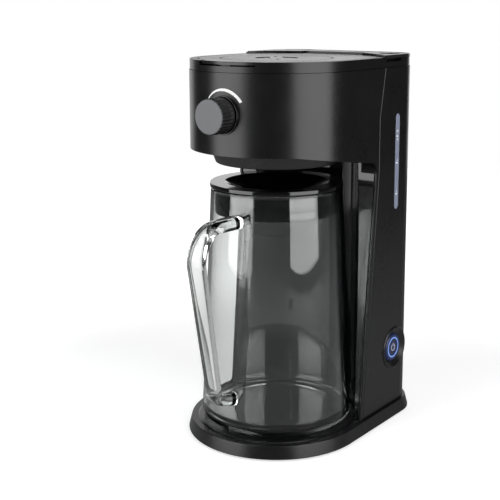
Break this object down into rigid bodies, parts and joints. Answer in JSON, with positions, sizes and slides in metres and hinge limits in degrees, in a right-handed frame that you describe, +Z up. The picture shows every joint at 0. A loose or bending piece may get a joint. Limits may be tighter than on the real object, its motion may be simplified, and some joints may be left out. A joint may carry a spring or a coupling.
{
  "type": "iced tea maker",
  "caption": "Upright iced tea maker: tank column with a drum shaped brew head under flap lids, strength knob, power button, and a handled glass jug on the base.",
  "frame": {"origin": "on the table, under the middle of the outline", "axes": "+Z up, -Y towards the knob and the jug's handle, +X towards the side with the power button"},
  "size_m": [0.172, 0.2582, 0.3612],
  "materials": {
    "satin_black": "fine moulded satin",
    "lid_black": "fine moulded satin",
    "gloss_black": "gloss",
    "knob_grey": "satin",
    "white_plastic": "satin",
    "jug_clear": "polished",
    "clear_plastic": "polished",
    "steel": "satin",
    "filter_steel": "fine",
    "heater_alloy": "as extruded",
    "silicone": "matt",
    "foot_rubber": "matt",
    "ring_light": "lit ring"
  },
  "bodies": {
    "machine": {"base_shell": "satin_black", "base_plate": "satin_black", "stand_plate": "gloss_black", "feet": "foot_rubber", "base_screws": "steel", "housing_screws": "steel", "front_housing": "satin_black", "rear_housing": "satin_black", "column_panel": "gloss_black", "top_frame": "satin_black", "level_window": "clear_plastic", "cord_gland": "satin_black", "brew_lid_pin": "steel", "spout_seal": "silicone", "tank_lid_pin": "steel", "basket_holder": "satin_black", "chamber_screws": "steel", "brew_basket": "satin_black", "filter_mesh": "filter_steel", "knob_collar": "gloss_black", "strength_valve": "white_plastic", "water_tank": "clear_plastic", "cold_hose": "silicone", "check_valve": "white_plastic", "hot_riser": "silicone", "heater": "heater_alloy", "heater_bracket": "steel", "thermostat": "steel", "thermal_fuse": "white_plastic", "button_bezel": "satin_black", "switch_body": "white_plastic"},
    "brew_flap": {"brew_lid": "lid_black", "spray_head": "satin_black"},
    "tank_flap": {"tank_lid": "lid_black"},
    "knob": {"strength_knob": "knob_grey", "knob_spindle": "white_plastic"},
    "button": {"power_button": "gloss_black", "light_ring": "ring_light"},
    "jug": {"jug_glass": "jug_clear"},
    "jug_cover": {"jug_lid": "gloss_black", "lid_seal": "silicone"},
    "ball": {"check_ball": "filter_steel"}
  },
  "joints": [
    {"name": "brew_lid_hinge", "type": "hinge", "parent": "machine", "child": "brew_flap", "pos_m": [0, 0.08906, 0.357], "axis": [-1, 0, 0], "range_deg": [0, 95]},
    {"name": "tank_lid_hinge", "type": "hinge", "parent": "machine", "child": "tank_flap", "pos_m": [0, 0.11266, 0.357], "axis": [-1, 0, 0], "range_deg": [0, 95]},
    {"name": "strength_turn", "type": "hinge", "parent": "machine", "child": "knob", "pos_m": [0, -0.08894, 0.313], "axis": [0, -1, 0], "range_deg": [-75, 75]},
    {"name": "power_press", "type": "slide", "parent": "machine", "child": "button", "axis": [-1, 0, 0], "range_m": [0, 0.0025], "stiffness_N_per_m": 400, "springref_m": -0.0015},
    {"name": "jug_slide", "type": "slide", "parent": "machine", "child": "jug", "axis": [0, -1, 0], "range_m": [0, 0.25]},
    {"name": "jug_lid_twist", "type": "hinge", "parent": "jug", "child": "jug_cover", "pos_m": [0, -0.00694, 0.24], "axis": [0, 0, 1], "range_deg": [-90, 90]},
    {"name": "ball_lift", "type": "slide", "parent": "machine", "child": "ball", "axis": [0, 0, 1], "range_m": [0, 0.002]}
  ]
}
